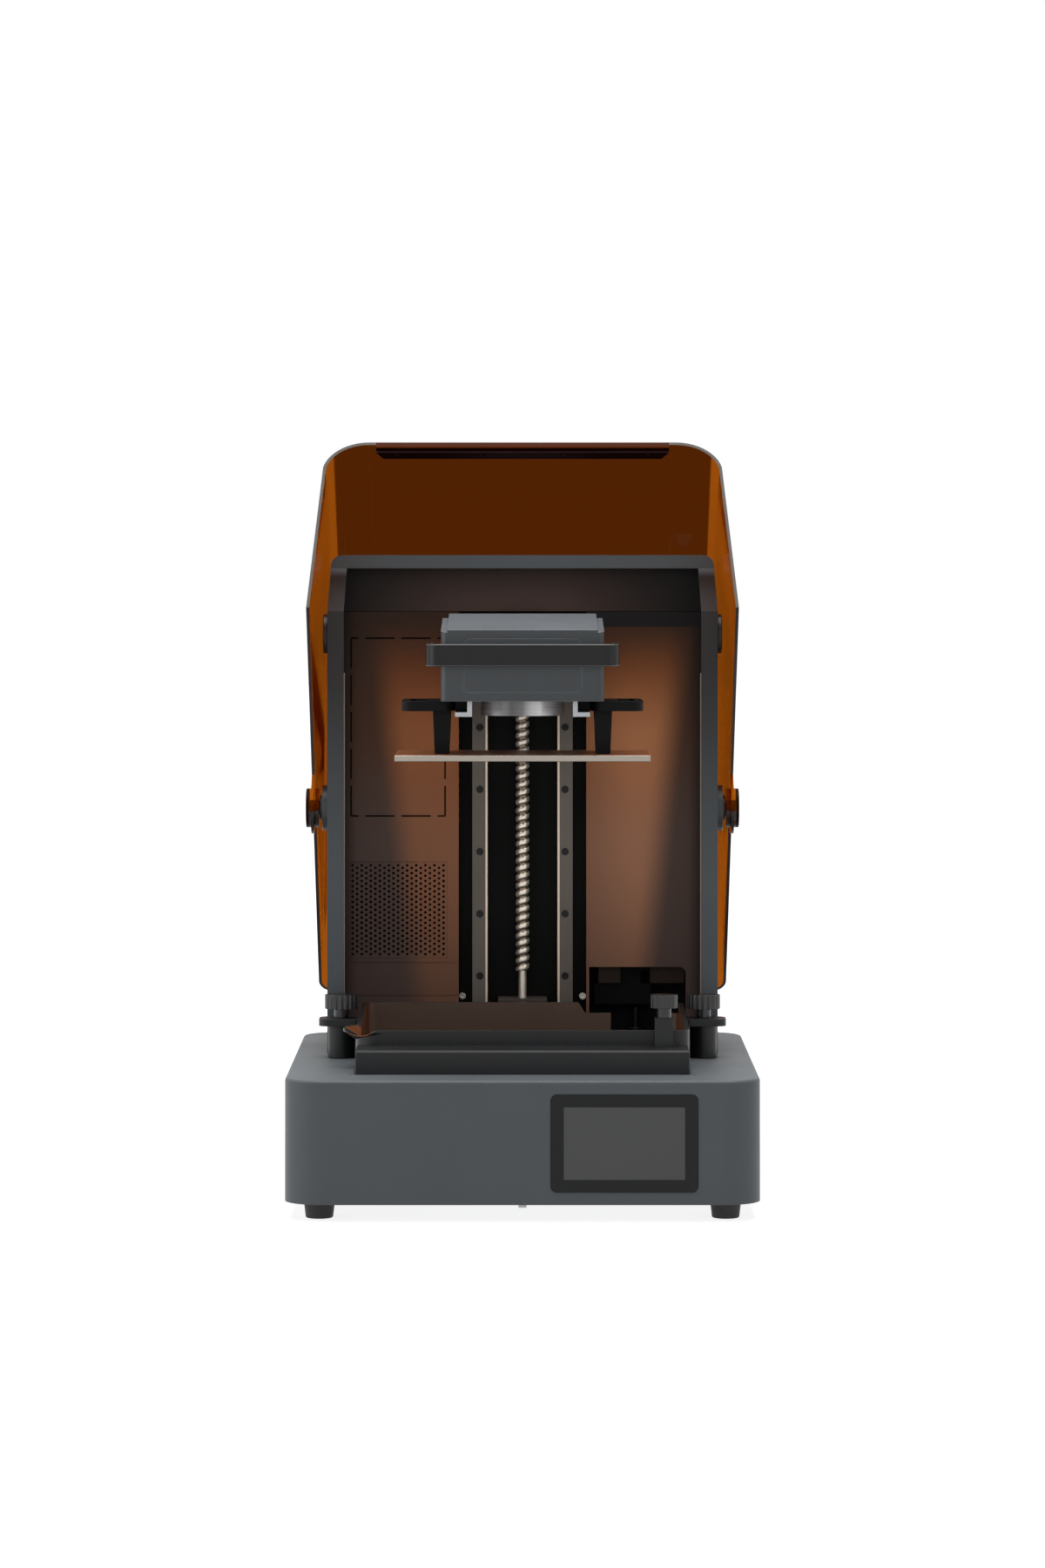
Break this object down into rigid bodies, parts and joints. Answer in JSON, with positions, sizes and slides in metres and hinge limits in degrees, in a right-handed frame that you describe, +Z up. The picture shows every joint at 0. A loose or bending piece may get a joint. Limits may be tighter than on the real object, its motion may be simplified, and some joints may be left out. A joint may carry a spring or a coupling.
{
  "type": "resin printer",
  "caption": "Desktop resin printer: grey base with a touch screen, rear chamber with a vertical screw axis, raised build platform, black resin vat and a flip-up amber lid.",
  "frame": {"origin": "on the floor, under the middle of the base", "axes": "+Z up, +Y from the front to the back, +X to the right as seen from the front"},
  "size_m": [0.356, 0.4934, 0.5858],
  "materials": {
    "casing_grey": "satin",
    "chamber_grey": "satin",
    "panel_brown": "satin",
    "black_plastic": "satin",
    "black_gloss": "polished",
    "display_grey": "satin",
    "lcd_black": "polished",
    "rubber_black": "matte",
    "amber": "polished",
    "amber_dark": "polished",
    "aluminium": "brushed",
    "steel": "polished",
    "dark_steel": "satin",
    "rail_steel": "ground",
    "head_grey": "satin",
    "black_metal": "matte",
    "pcb_green": "satin",
    "led_white": "satin",
    "film_clear": "polished",
    "red_plastic": "satin"
  },
  "bodies": {
    "base": {"base_shell": "casing_grey", "base_floor": "aluminium", "case_screws": "steel", "feet": "rubber_black", "screen_glass": "black_gloss", "screen_display": "display_grey", "lcd_panel": "lcd_black", "lcd_frame": "steel", "light_box": "black_plastic", "led_array": "led_white", "heat_sink": "aluminium", "mainboard": "pcb_green", "power_supply": "aluminium", "mains_inlet": "black_plastic", "chamber_shell": "chamber_grey", "rear_cover": "chamber_grey", "back_panel": "panel_brown", "upper_panel": "panel_brown", "vent_grille": "panel_brown", "side_buffers": "dark_steel", "fan_frame": "black_plastic", "filter_cartridge": "black_plastic", "recess_box": "black_plastic", "feed_bracket": "panel_brown", "feed_pin": "dark_steel", "z_column": "black_metal", "linear_rails": "rail_steel", "rail_screws": "dark_steel", "screw_blocks": "dark_steel", "z_motor": "black_metal", "vat_posts": "black_plastic", "hinge_hubs": "dark_steel"},
    "lid": {"lid_shell": "amber", "lid_grip": "amber_dark", "lid_hinge_caps": "amber_dark"},
    "head": {"carriage_blocks": "rail_steel", "carriage_plate": "aluminium", "ball_nut": "steel", "nut_bolts": "dark_steel", "head_arm": "aluminium", "head_cover": "head_grey", "clamp_disc": "aluminium", "platform_guides": "aluminium"},
    "lever": {"clamp_lever": "black_plastic", "lever_shaft": "steel"},
    "platform": {"build_plate": "aluminium", "platform_handles": "black_plastic"},
    "vat": {"vat_tray": "black_plastic", "vat_film": "film_clear", "film_frame": "aluminium", "film_frame_screws": "steel"},
    "thumb_left": {"thumb_screw_left": "black_plastic", "thumb_stud_left": "steel"},
    "thumb_right": {"thumb_screw_right": "black_plastic", "thumb_stud_right": "steel"},
    "thumb_front": {"thumb_screw_front": "black_plastic"},
    "screw": {"ball_screw": "steel", "screw_coupler": "aluminium"},
    "fan": {"fan_rotor": "black_plastic"},
    "rocker": {"power_rocker": "red_plastic"}
  },
  "joints": [
    {"name": "lid_hinge", "type": "hinge", "parent": "base", "child": "lid", "pos_m": [0, 0.06, 0.2955], "axis": [-1, 0, 0], "range_deg": [-136, 0]},
    {"name": "head_slide", "type": "slide", "parent": "base", "child": "head", "axis": [0, 0, 1], "range_m": [-0.2275, 0]},
    {"name": "lever_swing", "type": "hinge", "parent": "head", "child": "lever", "pos_m": [0, -0.035, 0.4201], "axis": [-1, 0, 0], "range_deg": [0, 75]},
    {"name": "platform_slide", "type": "slide", "parent": "head", "child": "platform", "axis": [0, -1, 0], "range_m": [0, 0.12]},
    {"name": "vat_lift", "type": "slide", "parent": "base", "child": "vat", "axis": [0, 0, 1], "range_m": [0, 0.06]},
    {"name": "thumb_left_turn", "type": "hinge", "parent": "vat", "child": "thumb_left", "pos_m": [-0.1408, -0.018, 0.1455], "axis": [0, 0, 1], "range_deg": [0, 720]},
    {"name": "thumb_right_turn", "type": "hinge", "parent": "vat", "child": "thumb_right", "pos_m": [0.1408, -0.018, 0.1455], "axis": [0, 0, 1], "range_deg": [0, 720]},
    {"name": "thumb_front_turn", "type": "hinge", "parent": "vat", "child": "thumb_front", "pos_m": [0.107, -0.1215, 0.1555], "axis": [0, 0, 1], "range_deg": [0, 720]},
    {"name": "screw_spin", "type": "hinge", "parent": "base", "child": "screw", "pos_m": [0, 0.111, 0.2055], "axis": [0, 0, 1], "range_deg": [-12314, 90]},
    {"name": "fan_spin", "type": "hinge", "parent": "base", "child": "fan", "pos_m": [-0.0999, 0.11, 0.211], "axis": [0, 1, 0], "continuous": true},
    {"name": "rocker_tilt", "type": "hinge", "parent": "base", "child": "rocker", "pos_m": [-0.074, 0.187, 0.051], "axis": [1, 0, 0], "range_deg": [0, 8]}
  ],
  "couplings": [
    {"joint": "screw_spin", "follows": "head_slide", "rad_per_m": 937.79}
  ]
}
